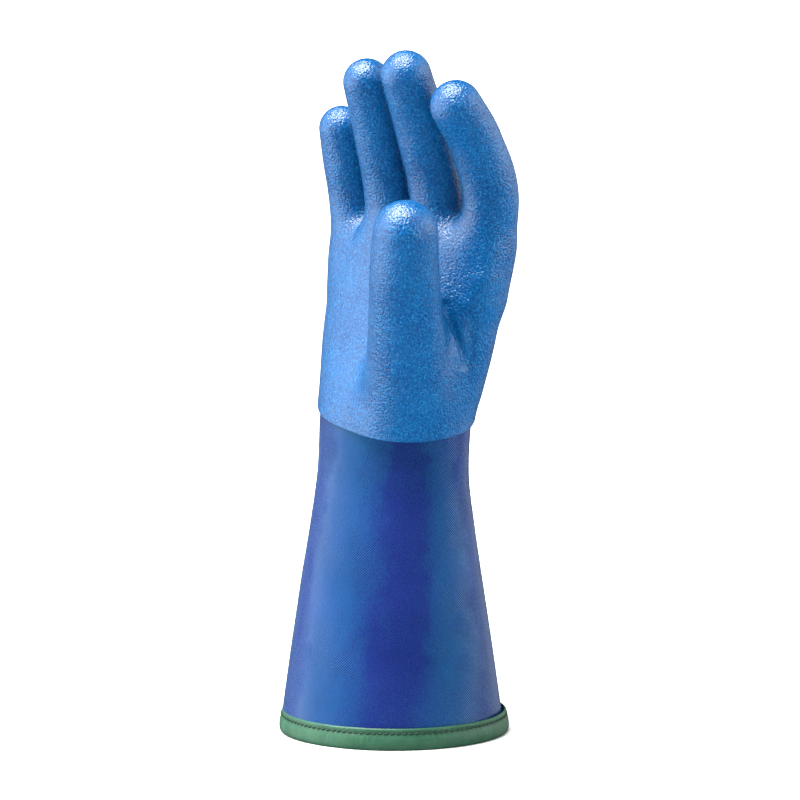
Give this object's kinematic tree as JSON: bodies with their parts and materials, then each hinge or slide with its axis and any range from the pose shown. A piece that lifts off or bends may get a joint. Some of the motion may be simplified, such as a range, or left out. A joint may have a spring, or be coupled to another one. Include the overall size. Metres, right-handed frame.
{
  "type": "insulated gauntlet glove",
  "caption": "Long insulated glove for very cold vessels: rough coated hand with bending fingers and thumb, smooth flared gauntlet, stitched and bound hem, knitted lining.",
  "frame": {"origin": "on the surface that the hem rests on, below the middle of the glove's bounding box", "axes": "+Z from the hem to the fingertips, -Y out of the palm, +X towards the index finger and thumb"},
  "size_m": [0.1074, 0.105, 0.2986],
  "materials": {
    "hand_coating": "rough granular, slight sheen",
    "hand_liner": "napped knit",
    "gauntlet": "smooth semi-gloss over a faint twill",
    "gauntlet_lining": "knit",
    "binding": "coated tape, slight sheen",
    "thread": "twisted polyester"
  },
  "bodies": {
    "hand": {"hand_coating": "hand_coating", "hand_liner": "hand_liner", "gauntlet_sleeve": "gauntlet", "gauntlet_lining": "gauntlet_lining", "gauntlet_seam_tape": "gauntlet", "hem_binding": "binding", "hem_needle_thread": "thread", "hem_bobbin_thread": "thread", "index_knuckle_coating": "hand_coating", "index_knuckle_liner": "hand_liner", "middle_knuckle_coating": "hand_coating", "middle_knuckle_liner": "hand_liner", "ring_knuckle_coating": "hand_coating", "ring_knuckle_liner": "hand_liner", "little_knuckle_coating": "hand_coating", "little_knuckle_liner": "hand_liner", "thumb_knuckle_coating": "hand_coating", "thumb_knuckle_liner": "hand_liner"},
    "index_base": {"index_base_coating": "hand_coating", "index_base_liner": "hand_liner", "index_joint_coating": "hand_coating", "index_joint_liner": "hand_liner"},
    "index_tip": {"index_tip_coating": "hand_coating", "index_tip_liner": "hand_liner"},
    "middle_base": {"middle_base_coating": "hand_coating", "middle_base_liner": "hand_liner", "middle_joint_coating": "hand_coating", "middle_joint_liner": "hand_liner"},
    "middle_tip": {"middle_tip_coating": "hand_coating", "middle_tip_liner": "hand_liner"},
    "ring_base": {"ring_base_coating": "hand_coating", "ring_base_liner": "hand_liner", "ring_joint_coating": "hand_coating", "ring_joint_liner": "hand_liner"},
    "ring_tip": {"ring_tip_coating": "hand_coating", "ring_tip_liner": "hand_liner"},
    "little_base": {"little_base_coating": "hand_coating", "little_base_liner": "hand_liner", "little_joint_coating": "hand_coating", "little_joint_liner": "hand_liner"},
    "little_tip": {"little_tip_coating": "hand_coating", "little_tip_liner": "hand_liner"},
    "thumb_base": {"thumb_base_coating": "hand_coating", "thumb_base_liner": "hand_liner", "thumb_joint_coating": "hand_coating", "thumb_joint_liner": "hand_liner"},
    "thumb_tip": {"thumb_tip_coating": "hand_coating", "thumb_tip_liner": "hand_liner"}
  },
  "joints": [
    {"name": "index_knuckle", "type": "hinge", "parent": "hand", "child": "index_base", "pos_m": [0.04148, 0.01393, 0.23397], "axis": [1, 0, 0], "range_deg": [-10, 40], "stiffness_Nm_per_rad": 0.08, "deforming": ["index_knuckle_coating", "index_knuckle_liner"]},
    {"name": "index_joint", "type": "hinge", "parent": "index_base", "child": "index_tip", "pos_m": [0.04065, 0.00527, 0.25972], "axis": [1, 0, 0], "range_deg": [-5, 60], "stiffness_Nm_per_rad": 0.05, "deforming": ["index_joint_coating", "index_joint_liner"]},
    {"name": "middle_knuckle", "type": "hinge", "parent": "hand", "child": "middle_base", "pos_m": [0.01425, 0.01042, 0.23378], "axis": [1, 0, 0], "range_deg": [-10, 60], "stiffness_Nm_per_rad": 0.08, "deforming": ["middle_knuckle_coating", "middle_knuckle_liner"]},
    {"name": "middle_joint", "type": "hinge", "parent": "middle_base", "child": "middle_tip", "pos_m": [0.01396, 0.00051, 0.26403], "axis": [1, 0, 0], "range_deg": [-5, 70], "stiffness_Nm_per_rad": 0.05, "deforming": ["middle_joint_coating", "middle_joint_liner"]},
    {"name": "ring_knuckle", "type": "hinge", "parent": "hand", "child": "ring_base", "pos_m": [-0.01176, 0.00956, 0.2323], "axis": [1, 0, 0], "range_deg": [-10, 60], "stiffness_Nm_per_rad": 0.08, "deforming": ["ring_knuckle_coating", "ring_knuckle_liner"]},
    {"name": "ring_joint", "type": "hinge", "parent": "ring_base", "child": "ring_tip", "pos_m": [-0.01139, 0.0013, 0.26056], "axis": [1, 0, 0], "range_deg": [-5, 70], "stiffness_Nm_per_rad": 0.05, "deforming": ["ring_joint_coating", "ring_joint_liner"]},
    {"name": "little_knuckle", "type": "hinge", "parent": "hand", "child": "little_base", "pos_m": [-0.03628, 0.01316, 0.22637], "axis": [1, 0, 0], "range_deg": [-10, 55], "stiffness_Nm_per_rad": 0.08, "deforming": ["little_knuckle_coating", "little_knuckle_liner"]},
    {"name": "little_joint", "type": "hinge", "parent": "little_base", "child": "little_tip", "pos_m": [-0.03698, 0.00909, 0.24466], "axis": [1, 0, 0], "range_deg": [-5, 60], "stiffness_Nm_per_rad": 0.05, "deforming": ["little_joint_coating", "little_joint_liner"]},
    {"name": "thumb_knuckle", "type": "hinge", "parent": "hand", "child": "thumb_base", "pos_m": [0.02995, -0.02731, 0.18691], "axis": [0.7953, 0.6062, 0], "range_deg": [-25, 20], "stiffness_Nm_per_rad": 0.08, "deforming": ["thumb_knuckle_coating", "thumb_knuckle_liner"]},
    {"name": "thumb_joint", "type": "hinge", "parent": "thumb_base", "child": "thumb_tip", "pos_m": [0.03598, -0.03494, 0.20713], "axis": [0.7953, 0.6062, 0], "range_deg": [-35, 15], "stiffness_Nm_per_rad": 0.05, "deforming": ["thumb_joint_coating", "thumb_joint_liner"]}
  ]
}
